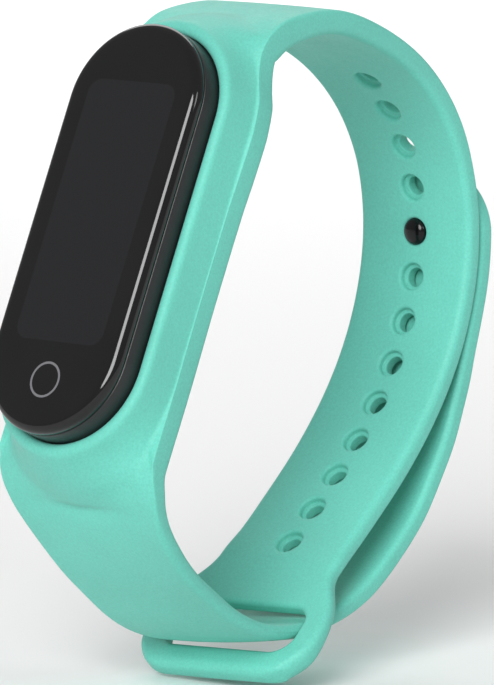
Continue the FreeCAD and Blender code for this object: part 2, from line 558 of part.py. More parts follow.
# ------------------------------------------------------------ back sensors
window = keep(new_body("sensor_window"))
s = sketch(window, "window_disc", y="sizes.window_centre", z="sizes.back_level")
s.AttachmentOffset = FreeCAD.Placement(V(0, S["window_centre"], S["back_level"]), FreeCAD.Rotation())
round_wire(s, 4.17, "sizes.window_radius - 0.03")
pad(window, s, "sizes.floor_thick")
bar_a = block("barrier_plate", 7.0, 7.0, 0.9, 0, S["window_centre"], 0.3)
bar_b = block("barrier_pd", 2.2, 2.8, 0.9, 0, S["window_centre"], 0.3)
bar_c = block("barrier_led_a", 1.5, 1.5, 0.9, 0, S["window_centre"] + 2.5, 0.3)
bar_d = block("barrier_led_b", 1.5, 1.5, 0.9, 0, S["window_centre"] - 2.5, 0.3)
keep(boolean("Cut", "light_barrier", bar_a, gather("barrier_holes", [bar_b, bar_c, bar_d])))
keep(block("photodiode", 2.0, 2.6, 0.55, 0, S["window_centre"], 0.65))
led_a = block("led_a", 1.3, 1.3, 0.55, 0, S["window_centre"] + 2.5, 0.65)
led_b = block("led_b", 1.3, 1.3, 0.55, 0, S["window_centre"] - 2.5, 0.65)
keep(gather("pulse_leds", [led_a, led_b]))
keep(block("sensor_board", 7.4, 8.6, 0.4, 0, S["window_centre"], 1.2))
keep(block("sensor_flex", 2.4, 0.15, 4.6, -5.0, -9.6, 1.8))
flexb = block("sensor_flex_run", 2.4, 7.4, 0.15, -2.5, -5.98, 1.6)
nodes.remove(nodes[-1])
drop = doc.getObject("sensor_flex")
drop.Label = "sensor_flex_drop"
flexb.Length, flexb.Width = 2.4, 7.55
flexb.Placement = on(-2.4, -9.675, 1.6)
drop.Length = 2.4
drop.Placement = on(-2.4, -9.675, 1.6)
drop.Height = 4.8
keep(gather("sensor_flex_strip", [flexb, drop]))

# ------------------------------------------------------------ charging
pads = [rod("pad_%d" % i, 1.06, 1.25, on(x, S["pad_centre"], S["back_level"] - 0.02)) for i, x in enumerate((-3.0, 3.0))]
keep(gather("charging_contacts", pads))
ring = []
for i, x in enumerate((-3.0, 3.0)):
    a = rod("seal_out_%d" % i, 1.5, 0.4, on(x, S["pad_centre"], 0.3))
    b = rod("seal_in_%d" % i, 1.06, 1.0, on(x, S["pad_centre"], 0.0))
    ring.append(boolean("Cut", "seal_ring_%d" % i, a, b))
keep(gather("contact_seals", ring))
springs = [rod("pogo_%d" % i, 0.45, 6.4 - 0.33, on(x, S["pad_centre"], 0.33)) for i, x in enumerate((-3.0, 3.0))]
keep(gather("contact_springs", springs))

# ------------------------------------------------------------ antenna
arc_o = rod("antenna_out", 7.7, 4.0, on(0, S["cap_centres"] / 2.0, 2.0))
arc_i = rod("antenna_in", 7.45, 6.0, on(0, S["cap_centres"] / 2.0, 1.0))
arc_o.Angle = 130
arc_o.Placement = CRADLE.multiply(FreeCAD.Placement(V(0, S["cap_centres"] / 2.0, 2.0), FreeCAD.Rotation(V(0, 0, 1), 25)))
keep(boolean("Cut", "antenna", arc_o, arc_i))

# ------------------------------------------------------------ vibration motor
# A small motor lying across the capsule; its weight is a half round.
along = FreeCAD.Rotation(V(0, 1, 0), 90)
def across(x):
    return CRADLE.multiply(FreeCAD.Placement(V(x, S["motor_centre"], S["motor_level"]), along))
can = rod("motor_can", S["motor_radius"], S["motor_long"], across(-5.6), "sizes.motor_radius", "sizes.motor_long")
bore = rod("motor_bore", S["shaft_bore"], 4.0, across(-3.2), "sizes.shaft_bore")
keep(boolean("Cut", "motor_case", can, bore))
keep(rod("motor_shaft", S["shaft_radius"], 7.4, across(-2.9), "sizes.shaft_radius"))
half = rod("weight_round", S["rotor_radius"], S["rotor_long"], across(1.2), "sizes.rotor_radius", "sizes.rotor_long")
half.Angle = 180
half.Placement = CRADLE.multiply(FreeCAD.Placement(V(1.2, S["motor_centre"], S["motor_level"]),
                                 along.multiply(FreeCAD.Rotation(V(0, 0, 1), -90))))
hub = rod("weight_hub", 0.75, S["rotor_long"], across(1.2), None, "sizes.rotor_long")
eye = rod("weight_eye", S["shaft_radius"], 6.0, across(0.0), "sizes.shaft_radius")
keep(boolean("Cut", "motor_weight", gather("weight_solid", [half, hub]), eye))
keep(block("motor_foam", 5.0, 3.0, 1.0, -2.6, S["motor_centre"], 0.3))

doc.recompute()

bad = []
for o in doc.Objects:
    if any(x in ("Invalid", "Error") for x in o.State):
        bad.append((o.Label, o.State))
if bad:
    raise RuntimeError("objects not built: %s" % bad)
os.makedirs("parts", exist_ok=True)
for o in nodes:
    shape = o.Shape
    if shape.isNull() or not shape.isValid() or not shape.Solids:
        raise RuntimeError("bad shape: " + o.Label)
    shape.exportStep("parts/%s.step" % o.Label)
print(len(nodes), "nodes")
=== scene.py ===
import bpy, math
import numpy as np
from mathutils import Matrix, Vector


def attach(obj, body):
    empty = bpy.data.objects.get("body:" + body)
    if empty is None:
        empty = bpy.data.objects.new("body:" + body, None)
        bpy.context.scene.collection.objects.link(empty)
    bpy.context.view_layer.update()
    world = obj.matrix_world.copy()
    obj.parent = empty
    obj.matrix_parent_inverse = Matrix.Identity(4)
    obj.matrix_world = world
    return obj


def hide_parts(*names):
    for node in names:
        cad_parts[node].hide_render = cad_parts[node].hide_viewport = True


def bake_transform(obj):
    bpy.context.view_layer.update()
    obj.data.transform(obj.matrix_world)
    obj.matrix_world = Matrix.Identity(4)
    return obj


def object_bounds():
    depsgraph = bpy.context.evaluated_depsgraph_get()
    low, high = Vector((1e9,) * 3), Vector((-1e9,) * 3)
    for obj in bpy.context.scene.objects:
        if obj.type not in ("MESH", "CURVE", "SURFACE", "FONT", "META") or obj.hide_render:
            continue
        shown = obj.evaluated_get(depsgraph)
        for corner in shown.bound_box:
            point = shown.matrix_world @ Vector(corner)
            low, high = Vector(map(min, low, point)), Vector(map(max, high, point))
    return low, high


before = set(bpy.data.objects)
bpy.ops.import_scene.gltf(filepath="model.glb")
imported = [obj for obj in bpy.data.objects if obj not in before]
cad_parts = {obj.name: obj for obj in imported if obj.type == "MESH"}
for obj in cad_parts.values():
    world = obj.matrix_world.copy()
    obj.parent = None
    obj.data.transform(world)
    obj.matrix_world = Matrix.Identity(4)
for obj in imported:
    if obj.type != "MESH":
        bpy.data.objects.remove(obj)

def box_list(b):
    return [[float(v) for v in b[0]], [float(v) for v in b[1]]]

CAD_BOX = box_list(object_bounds())
MM = 0.001

# ------------------------------------------------------------------ the band's line
# The same middle line, thickness and half width that the CAD moulding has.
LEAN = math.radians(64.8)
UY, UZ = math.cos(LEAN), math.sin(LEAN)
CRADLE_O = np.array([-18.8, 8.15])
CU = np.array([UY, UZ])          # up along the capsule
CN = np.array([-UZ, UY])         # out of the display
CRADLE_END = 23.45
KD = np.array([math.cos(math.radians(-135.5)), math.sin(math.radians(-135.5))])
KEEP_AT = np.array([-1.88, -32.52])
HOLE_SIDE = [
    (-9.12, 31.02, 3.40, 9.25), (-7.58, 31.92, 3.45, 9.18), (-5.62, 32.52, 3.35, 9.12),
    (-3.01, 32.97, 3.15, 9.05), (0.01, 33.15, 2.92, 8.95), (3.36, 32.79, 2.78, 8.90),
    (9.24, 30.91, 2.62, 8.75), (14.82, 28.16, 2.55, 8.50), (19.79, 24.32, 2.50, 8.25),
    (23.67, 19.36, 2.40, 8.10), (26.03, 13.52, 2.20, 8.00), (26.85, 7.31, 2.20, 8.00),
    (26.14, 1.11, 2.20, 8.00), (24.16, -4.77, 2.20, 8.00), (21.15, -10.17, 2.20, 8.00),
    (17.37, -15.01, 2.20, 8.00), (13.09, -19.36, 2.20, 8.00), (8.50, -23.33, 2.18, 8.00),
    (5.42, -25.87, 2.12, 8.05)]
PIN_SIDE = [
    (-30.15, -14.80, 2.30, 11.15), (-29.45, -17.30, 2.15, 10.80), (-28.15, -19.70, 2.10, 10.42),
    (-26.36, -22.05, 2.10, 10.10), (-24.73, -23.93, 2.10, 9.80), (-22.31, -26.35, 2.10, 9.45),
    (-19.67, -28.50, 2.10, 9.15), (-16.45, -30.95, 2.05, 8.90), (-12.65, -33.05, 2.00, 8.70),
    (-8.45, -34.42, 1.95, 8.60), (-5.32, -34.85, 1.90, 8.55), (-1.73, -34.78, 1.90, 8.45),
    (0.85, -34.33, 1.95, 8.30), (3.45, -33.55, 2.05, 8.10), (6.20, -32.35, 2.15, 7.95),
    (10.22, -30.13, 2.20, 7.80), (14.60, -26.80, 2.20, 7.75), (18.20, -23.20, 2.20, 7.75),
    (20.76, -19.50, 2.20, 7.75), (23.00, -15.80, 2.20, 7.75), (24.60, -12.00, 2.20, 7.75),
    (25.60, -9.40, 2.20, 7.75), (26.50, -6.30, 2.20, 7.75), (27.32, -3.70, 2.20, 7.75),
    (27.97, -1.55, 2.20, 7.75), (28.55, 0.60, 2.20, 7.75), (28.98, 2.80, 2.20, 7.75),
    (29.22, 5.04, 2.20, 7.75), (29.30, 7.00, 2.20, 7.75), (29.20, 9.60, 2.20, 7.75),
    (28.90, 11.90, 2.15, 7.75), (28.38, 14.20, 2.10, 7.75), (27.85, 15.90, 2.05, 7.75)]
HOLES = [(17.42, 24.76), (20.99, 21.13), (23.67, 16.80), (25.25, 12.07), (25.75, 7.01), (25.20, 1.94),
         (23.74, -2.94), (21.51, -7.52), (18.72, -11.66), (15.40, -15.53), (11.75, -19.09), (7.88, -22.41),
         (3.95, -25.66)]
STUD = (25.75, 7.01)

def spline(points, first, last):
    """Clamped cubic through the points; returns a dense polyline, its tangents and the points' lengths."""
    p = np.array(points, float)
    h = np.linalg.norm(np.diff(p, axis=0), axis=1)
    n = len(p)
    A = np.zeros((n, n)); R = np.zeros((n, 2))
    A[0, 0] = 1; R[0] = first / np.linalg.norm(first)
    A[-1, -1] = 1; R[-1] = last / np.linalg.norm(last)
    for i in range(1, n - 1):
        A[i, i - 1] = h[i]; A[i, i] = 2 * (h[i - 1] + h[i]); A[i, i + 1] = h[i - 1]
        R[i] = 3 * (h[i] * (p[i] - p[i - 1]) / h[i - 1] + h[i - 1] * (p[i + 1] - p[i]) / h[i])
    m = np.linalg.solve(A, R)
    out, tan, marks = [], [], [0]
    K = 40
    for i in range(n - 1):
        u = np.linspace(0, 1, K, endpoint=False)[:, None]
        d = h[i]
        out.append((2 * u**3 - 3 * u**2 + 1) * p[i] + (u**3 - 2 * u**2 + u) * d * m[i]
                   + (-2 * u**3 + 3 * u**2) * p[i + 1] + (u**3 - u**2) * d * m[i + 1])
        tan.append((6 * u**2 - 6 * u) * p[i] / d + (3 * u**2 - 4 * u + 1) * m[i]
                   + (-6 * u**2 + 6 * u) * p[i + 1] / d + (3 * u**2 - 2 * u) * m[i + 1])
        marks.append(marks[-1] + K)
    out.append(p[-1:]); tan.append(m[-1:])
    out = np.concatenate(out); tan = np.concatenate(tan)
    tan /= np.linalg.norm(tan, axis=1)[:, None]
    s = np.concatenate([[0], np.cumsum(np.linalg.norm(np.diff(out, axis=0), axis=1))])
    return out, tan, s, s[np.array(marks)]

def gentle(xs, ys, x):
    """Monotone cubic interpolation of a table."""
    xs, ys = np.array(xs, float), np.array(ys, float)
    d = np.diff(ys) / np.diff(xs)
    m = np.zeros(len(xs))
    for i in range(1, len(xs) - 1):
        if d[i - 1] * d[i] > 0:
            m[i] = 2 * d[i - 1] * d[i] / (d[i - 1] + d[i])
    x = np.clip(np.asarray(x, float), xs[0], xs[-1])
    i = np.clip(np.searchsorted(xs, x) - 1, 0, len(xs) - 2)
    h = xs[i + 1] - xs[i]; u = (x - xs[i]) / h
    return ((2 * u**3 - 3 * u**2 + 1) * ys[i] + (u**3 - 2 * u**2 + u) * h * m[i]
            + (-2 * u**3 + 3 * u**2) * ys[i + 1] + (u**3 - u**2) * h * m[i + 1])

def cradle_pt(y, z):
    return CRADLE_O + CU * y + CN * z

# hole side: cradle top, over the loop, down to the keeper's start; then straight on
h0 = cradle_pt(CRADLE_END, 1.5)
k0 = KEEP_AT - KD * 6.2
H_pts = [h0] + [np.array(r[:2]) for r in HOLE_SIDE] + [k0]
H_line, H_tan, H_s, H_marks = spline(H_pts, CU, KD)
H_len = H_s[-1]
H_half = [1.5] + [r[2] / 2 for r in HOLE_SIDE] + [1.0]
H_w = [9.30] + [r[3] for r in HOLE_SIDE] + [8.35]
# pin side: cradle bottom, down, through the keeper, up to the tail's tip
p0 = cradle_pt(-CRADLE_END, 1.3)
P_pts = [p0] + [np.array(r[:2]) for r in PIN_SIDE]
P_line, P_tan, P_s, P_marks = spline(P_pts, -CU, np.array([-0.30, 0.95]))
P_len = P_s[-1]
P_half = [1.3] + [r[2] / 2 for r in PIN_SIDE]
P_w = [11.10] + [r[3] for r in PIN_SIDE]

SLOT_LONG, BAR_WIDE, SLOT_HALF, LOOP_HALF = 6.3, 3.1, 8.9, 11.95

def ease(a, b, v):
    u = np.clip((np.asarray(v, float) - a) / (b - a), 0, 1)
    return u * u * (3 - 2 * u)

ROLL = math.radians(6.4)
LOOP_YAW = math.radians(3.6)
LOOP_SHIFT = 0.5
def arc_of(line, tan, arc, pt):
    d = np.hypot(line[:, 0] - pt[0], line[:, 1] - pt[1])
    return float(arc[int(np.argmin(d))])
ROLL_AT = [arc_of(P_line, P_tan, P_s, q) for q in ((-27.5, -20.6), (-13.5, -32.7), (-1.5, -34.8), (9.5, -30.6))]

def place(s, x, z):
    """Band coordinates with the soft band's own give: the pin strap rolls a little where it is threaded
    through the loop, and the loop follows it."""
    s, x, z = np.broadcast_arrays(np.asarray(s, float), np.asarray(x, float), np.asarray(z, float))
    q = -s - CRADLE_END
    roll = ROLL * ease(ROLL_AT[0], ROLL_AT[1], q) * (1 - ease(ROLL_AT[2], ROLL_AT[3], q))
    c, n = np.cos(roll), np.sin(roll)
    x, z = x * c + z * n, z * c - x * n
    k = ease(CRADLE_END + H_len - 3.0, CRADLE_END + H_len + 7.0, s)
    s = s - x * math.tan(LOOP_YAW) * k
    x = x - LOOP_SHIFT * k
    return place_flat(s, x, z)

def place_flat(s, x, z):
    """Band coordinates to the row frame, mm: s along the line (0 at the cradle's middle, + over the hole
    side, - over the pin side), x across, z out of the loop from the middle line."""
    s, x, z = np.broadcast_arrays(np.asarray(s, float), np.asarray(x, float), np.asarray(z, float))
    Y = np.empty(s.shape); Z = np.empty(s.shape)
    mid = np.abs(s) <= CRADLE_END
    ref = 1.4 + 0.1 * np.clip(s / CRADLE_END, -1, 1)
    c = CRADLE_O[None] + s[mid][:, None] * CU + (z[mid] + ref[mid])[:, None] * CN
    Y[mid], Z[mid] = c[:, 0], c[:, 1]
    up = s > CRADLE_END
    q = s[up] - CRADLE_END
    for side, line, tan, arc, sel in ((1, H_line, H_tan, H_s, up), (-1, P_line, P_tan, P_s, s < -CRADLE_END)):
        q = np.abs(s[sel]) - CRADLE_END
        y = np.interp(q, arc, line[:, 0]); zz = np.interp(q, arc, line[:, 1])
        ty = np.interp(q, arc, tan[:, 0]); tz = np.interp(q, arc, tan[:, 1])
        L = np.hypot(ty, tz); ty /= L; tz /= L
        over = np.maximum(q - arc[-1], 0)
        y = y + ty * over; zz = zz + tz * over
        Y[sel] = y - side * tz * z[sel]
        Z[sel] = zz + side * ty * z[sel]
    return np.stack([x, Y, Z], -1)

def section(s):
    """Half width, inner offset and outer offset of the moulding at s."""
    s = np.asarray(s, float)
    q = np.abs(s) - CRADLE_END
    w = np.where(s >= 0, gentle(H_marks, H_w, np.clip(q, 0, H_len)), gentle(P_marks, P_w, np.clip(q, 0, P_len)))
    t = np.where(s >= 0, gentle(H_marks, H_half, np.clip(q, 0, H_len)), gentle(P_marks, P_half, np.clip(q, 0, P_len)))
    side = gentle([-23.45, -15, -4, 5, 10, 13.8, 17.7, 20, 21.9, 23.45], [11.1, 11.15, 11.05, 11.1, 11.3, 11.4, 11.0, 10.15, 9.55, 9.3], s)
    w = np.where(q <= 0, side, w)
    ref = 1.4 + 0.1 * np.clip(s / CRADLE_END, -1, 1)
    a = np.where(q <= 0, ref, t)
    b = np.where(q <= 0, 3.0 - ref, t)
    # keeper: flared shoulders, then the loop's limbs
    d = q - H_len - 6.2
    k = s > CRADLE_END + H_len
    wk = gentle([-6.2, -5.0, -3.9, -2.7, -1.2, 0.4, 2.2, 3.6, 30], [8.35, 8.60, 9.15, 9.95, 10.85, 11.5, 11.85, LOOP_HALF, LOOP_HALF], d)
    w = np.where(k, wk, w)
    a = np.where(k, gentle([-6.2, 0, 4.5, 6.9, 30], [1.0, 1.0, 1.15, 1.3, 1.3], d), a)
    b = np.where(k, gentle([-6.2, 0, 4.5, 6.9, 30], [1.0, 1.0, 1.3, 1.5, 1.5], d), b)
    return w, a, b

# ------------------------------------------------------------------ mesh helpers
class Build:
    def __init__(self):
        self.v, self.f, self.n = [], [], 0
    def add(self, pts):
        pts = np.asarray(pts, float).reshape(-1, 3)
        ids = np.arange(self.n, self.n + len(pts))
        self.v.append(pts); self.n += len(pts)
        return ids
    def quad(self, a, b, c, d):
        self.f.append((int(a), int(b), int(c), int(d)))
    def tube(self, loops):
        """Quads between successive closed loops of ids."""
        for A, B in zip(loops[:-1], loops[1:]):
            n = len(A)
            for i in range(n):
                j = (i + 1) % n
                self.quad(A[i], A[j], B[j], B[i])
    def mesh(self, name, flip=False):
        me = bpy.data.meshes.new(name)
        v = np.concatenate(self.v) * MM
        me.from_pydata([tuple(p) for p in v], [], self.f)
        import bmesh
        bm = bmesh.new(); bm.from_mesh(me)
        bmesh.ops.remove_doubles(bm, verts=bm.verts, dist=1e-7)
        bmesh.ops.dissolve_degenerate(bm, dist=1e-7, edges=bm.edges)
        bmesh.ops.recalc_face_normals(bm, faces=bm.faces)
        bm.to_mesh(me); bm.free()
        for p in me.polygons:
            p.use_smooth = True
        me.update()
        o = bpy.data.objects.new(name, me)
        bpy.context.scene.collection.objects.link(o)
        return o

HALF_MID = 2.54
MIDC = 8          # columns across the hole row
SIDEC = 7         # columns from the hole row to the edge
EDGE = 5          # steps in each edge rounding
WALL = 3

def columns(w, r):
    """x of the face columns from -(w-r) to +(w-r)."""
    e = w - r
    m = min(HALF_MID, e * 0.46)
    side = m + (e - m) * (np.arange(1, SIDEC + 1) / SIDEC)
    mid = np.linspace(-m, m, MIDC + 1)
    return np.concatenate([-side[::-1], mid, side])

NCOL = MIDC + 1 + 2 * SIDEC

PIN_CROWN = 2.5
P_out = CRADLE_END + arc_of(P_line, P_tan, P_s, (3.5, -33.7))
class Strip:
    """A moulded strip over stations s, with optional changes of width and edge by station."""
    def __init__(self, build, stations, ri=0.85, ro=0.5, shape=None, crown=0.10):
        self.b, self.s = build, np.asarray(stations, float)
        n = len(self.s)
        self.bot = np.zeros((n, NCOL), int); self.top = np.zeros((n, NCOL), int)
        self.edge = []
        self.info = []
        w, a, b = section(self.s)
        for i, s in enumerate(self.s):
            wi, ai, bi = float(w[i]), float(a[i]), float(b[i])
            r1 = ri(s) if callable(ri) else ri
            r2 = ro(s) if callable(ro) else ro
            if shape:
                wi, ai, bi, r1, r2 = shape(s, wi, ai, bi, r1, r2)
            t = ai + bi
            r1, r2 = min(r1, 0.48 * t, wi * 0.9), min(r2, 0.48 * t, wi * 0.9)
            cb, ct = columns(wi, r1), columns(wi, r2)
            cr = crown * (1 - (ct / wi) ** 2) if abs(s) > CRADLE_END + 2 else 0.0 * ct
            k = np.clip((abs(s) - CRADLE_END - 2) / 6.0, 0, 1)
            g = 1.0 + PIN_CROWN * ease(CRADLE_END + 6, CRADLE_END + 22, -s) * (1 - ease(P_out - 4, P_out + 8, -s))
            zt = bi - crown * g * k + cr * g * k
            self.bot[i] = build.add(place(s, cb, -ai))
            self.top[i] = build.add(place(s, ct, zt))
            ring = []
            for sgn in (1, -1):
                ph = np.linspace(0, math.pi / 2, EDGE + 1)[1:]
                x = [wi - r1 + r1 * math.sin(p) for p in ph]; z = [-ai + r1 * (1 - math.cos(p)) for p in ph]
                ztop = zt[-1] if hasattr(zt, "__len__") else zt
                z1, z2 = -ai + r1, ztop - r2
                for j in range(1, WALL):
                    x.append(wi); z.append(z1 + (z2 - z1) * j / WALL)
                for p in np.linspace(0, math.pi / 2, EDGE + 1)[:-1]:
                    x.append(wi - r2 + r2 * math.cos(p)); z.append(z2 + r2 * math.sin(p))
                ring.append(build.add(place(s, sgn * np.array(x), np.array(z))))
            self.edge.append(ring)
            self.info.append((wi, ai, bi, r1, r2, cb, ct, zt))
        self.gone = set()
    def patch_loops(self, i0, i1, j0=0, j1=NCOL - 1):
        """Bottom and top boundary loops of a block of cells, and takes the cells out."""
        idx = [(i0, j) for j in range(j0, j1)] + [(i, j1) for i in range(i0, i1)]
        idx += [(i1, j) for j in range(j1, j0, -1)] + [(i, j0) for i in range(i1, i0, -1)]
        for i in range(i0, i1):
            for j in range(j0, j1):
                self.gone.add((i, j))
        bot = [self.bot[i, j] for i, j in idx]; top = [self.top[i, j] for i, j in idx]
        bp = np.array([(self.s[i], self.info[i][5][j]) for i, j in idx])
        tp = np.array([(self.s[i], self.info[i][6][j]) for i, j in idx])
        bz = np.array([-self.info[i][1] for i, j in idx])
        tz = np.array([(self.info[i][7][j] if hasattr(self.info[i][7], "__len__") else self.info[i][7]) for i, j in idx])
        return bot, top, bp, tp, bz, tz
    def faces(self):
        b = self.b
        for i in range(len(self.s) - 1):
            for j in range(NCOL - 1):
                if (i, j) not in self.gone:
                    b.quad(self.bot[i, j], self.bot[i, j + 1], self.bot[i + 1, j + 1], self.bot[i + 1, j])
                    b.quad(self.top[i, j], self.top[i + 1, j], self.top[i + 1, j + 1], self.top[i, j + 1])
            for side, col in ((0, NCOL - 1), (1, 0)):
                A = [self.bot[i, col], *self.edge[i][side], self.top[i, col]]
                B = [self.bot[i + 1, col], *self.edge[i + 1][side], self.top[i + 1, col]]
                for k in range(len(A) - 1):
                    b.quad(A[k], A[k + 1], B[k + 1], B[k])
    def cap(self, i):
        """Closes the strip at station i with a flat end."""
        b = self.b
        m = len(self.edge[i][0]) // 2
        R = [self.bot[i, NCOL - 1], *self.edge[i][0], self.top[i, NCOL - 1]]
        L = [self.bot[i, 0], *self.edge[i][1], self.top[i, 0]]
        for j in range(NCOL - 1):
            b.quad(self.bot[i, j], self.bot[i, j + 1], self.top[i, j + 1], self.top[i, j])
        b.f.append(tuple(int(k) for k in R)); b.f.append(tuple(int(k) for k in L))

def ray_shape(poly, centre, dirs):
    """Where rays from centre along dirs meet a star-shaped closed outline (dense points)."""
    rel = poly - centre
    ang = np.arctan2(rel[:, 1], rel[:, 0]); rad = np.hypot(rel[:, 0], rel[:, 1])
    o = np.argsort(ang); ang, rad = ang[o], rad[o]
    ang = np.concatenate([ang - 2 * math.pi, ang, ang + 2 * math.pi]); rad = np.tile(rad, 3)
    th = np.arctan2(dirs[:, 1], dirs[:, 0])
    r = np.interp(th, ang, rad)
    return centre + np.stack([np.cos(th), np.sin(th)], 1) * r[:, None]

def stadium(rx, re, c=14.4, n=400):
    """Outline in (s, x): straight sides x=+-rx, ends of length re beyond +-c."""
    ph = np.linspace(-math.pi / 2, math.pi / 2, n)
    end = np.stack([c + re * np.cos(ph), rx * np.sin(ph)], 1)
    line = np.stack([np.linspace(c, -c, n), np.full(n, rx)], 1)[1:-1]
    return np.concatenate([end, line, -end, -line])

def round_rect(cx, hx, hy, r, n=60):
    """Outline in (s, x), centred at s=cx, half sizes hx along s and hy along x."""
    out = []
    for sx, sy, a0 in ((1, 1, 0), (-1, 1, 90), (-1, -1, 180), (1, -1, 270)):
        a = np.radians(np.linspace(a0, a0 + 90, n))
        out.append(np.stack([cx + sx * (hx - r) + r * np.cos(a), sy * (hy - r) + r * np.sin(a)], 1))
    p = np.concatenate(out)
    q = np.concatenate([p, p[:1]])
    s = np.concatenate([[0], np.cumsum(np.linalg.norm(np.diff(q, axis=0), axis=1))])
    t = np.linspace(0, s[-1], 1600, endpoint=False)
    return np.stack([np.interp(t, s, q[:, 0]), np.interp(t, s, q[:, 1])], 1)

# ------------------------------------------------------------------ stations
hole_s = []
for y, z in HOLES:
    i = int(np.argmin([abs((H_line[k] - np.array([y, z])) @ H_tan[k]) + 0.2 * np.linalg.norm(H_line[k] - np.array([y, z]))
                       for k in range(0, len(H_line))]))
    hole_s.append(CRADLE_END + H_s[i])
hole_s = np.array(hole_s)
mids = (hole_s[1:] + hole_s[:-1]) / 2
bounds_s = np.concatenate([[hole_s[0] - (mids[0] - hole_s[0])], mids, [hole_s[-1] + (hole_s[-1] - mids[-1])]])
SEAM = -(CRADLE_END + arc_of(P_line, P_tan, P_s, (-3.5, -34.8)))
KEND = CRADLE_END + H_len + 6.2 + SLOT_LONG + BAR_WIDE
K0 = CRADLE_END + H_len + 6.2
CORNER = 5.2      # the loop's outer corners
CR = 28.2         # the cradle's block reaches this far along the line

def spaced(a, b, step):
    n = max(1, int(round((b - a) / step)))
    return np.linspace(a, b, n + 1)

st = list(spaced(SEAM, -CR, 0.62)[:-1]) + list(spaced(-CR, CR, 0.6)[:-1])
st += list(spaced(CR, bounds_s[0], 0.62)[:-1])
for i in range(13):
    st += list(np.linspace(bounds_s[i], bounds_s[i + 1], 9)[:-1])
st += list(spaced(bounds_s[-1], K0 - 1.5, 0.5)[:-1])
st += list(spaced(K0 - 1.5, KEND - CORNER, 0.45)[:-1])
st += list(KEND - CORNER * (1 - np.sin(np.linspace(0, math.pi / 2, 22))))
st = np.array(st)
i_cr0, i_cr1 = int(np.argmin(abs(st + CR))), int(np.argmin(abs(st - CR)))
i_k0, i_k1 = int(np.argmin(abs(st - (K0 - 1.5)))), int(np.argmin(abs(st - (KEND - 1.55))))

def band_shape(s, w, a, b, r1, r2):
    if abs(s) < CR + 3:                       # cradle: side wall runs straight up into the rim
        k = np.clip((CR + 3 - abs(s)) / 8.0, 0, 1)
        r2 = r2 * (1 - k) + 0.06 * k
    q = KEND - s
    if q < CORNER:                            # keeper's outer corners
        w = w - CORNER + math.sqrt(max(0.0, CORNER**2 - (CORNER - q)**2))
    if q < 1.1:                               # and its rounded end
        e = 1.1 - math.sqrt(max(0.0, 1.1**2 - (1.1 - q)**2))
        a, b = a - e, b - e
        r1, r2 = r1 * 0.6, r2 * 0.6
    return w, a, b, r1, r2

def soft_in(s):
    return float(np.interp(s, [CRADLE_END + H_len - 8, CRADLE_END + H_len + 4, CRADLE_END + H_len + 12, CRADLE_END + H_len + 14], [0.85, 0.80, 0.9, 1.15]))
def soft_out(s):
    return float(np.interp(s, [-CRADLE_END - 34, -CRADLE_END - 10, -CRADLE_END, CRADLE_END + H_len - 8, CRADLE_END + H_len + 4, CRADLE_END + H_len + 12, CRADLE_END + H_len + 14],
                           [0.85, 0.85, 0.5, 0.5, 0.80, 0.9, 1.25]))

B = Build()
strip = Strip(B, st, soft_in, soft_out, band_shape)

# the holes: a rounded mouth, a step, a narrower throat and a rounded outer rim
def hole_patch(strip, B, i0, sc):
    jm0 = SIDEC; jm1 = SIDEC + MIDC
    bot, top, bp, tp, bz, tz = strip.patch_loops(i0, i0 + 8, jm0, jm1)
    n = len(bot)
    k = np.arange(n)
    th = math.radians(-135) + 2 * math.pi * k / n       # starts at (low s, low x), goes to +x first
    cs, cx = np.sin(th), np.cos(th)
    a, b = float(strip.info[i0 + 4][1]), float(strip.info[i0 + 4][2])
    R, T, D = 1.55, 1.075, 0.8
    inner = [(2.22, 0), (2.02, 0), (1.86, 0.004), (1.76, 0.035), (1.67, 0.10), (1.60, 0.19), (1.562, 0.30), (1.55, 0.42), (1.548, 0.60),
             (1.53, 0.70), (1.48, 0.765), (1.40, 0.79), (1.28, 0.80), (1.19, 0.81), (1.125, 0.85), (1.088, 0.93), (1.075, 1.05)]
    t = a + b
    outer = [(1.075, t - 0.45), (1.08, t - 0.32), (1.12, t - 0.16), (1.20, t - 0.05), (1.32, t - 0.005), (1.6, t), (1.95, t)]
    loops = [bot]
    for rad, dep in inner + outer:
        ring_s, ring_x = sc + rad * cs, rad * cx
        if rad > 1.9:                                    # ease from the block's edge to the circle
            base = bp if dep < 0.5 * t else tp
            f = (rad - 1.9) / (2.9 - 1.9)
            ring_s = ring_s * (1 - f) + base[:, 0] * f; ring_x = ring_x * (1 - f) + base[:, 1] * f
        z = np.full(n, -a + dep)
        if dep > 0.75 * t:
            i = i0 + 4
            w = strip.info[i][0]
            z = z - 0.10 * (ring_x / w) ** 2
        loops.append(B.add(place(ring_s, ring_x, z)))
    loops.append(top)
    B.tube(loops)

for i, sc in enumerate(hole_s):
    i0 = int(np.argmin(abs(st - bounds_s[i])))
    hole_patch(strip, B, i0, 0.5 * (bounds_s[i] + bounds_s[i + 1]) if 0 < i < 12 else sc)

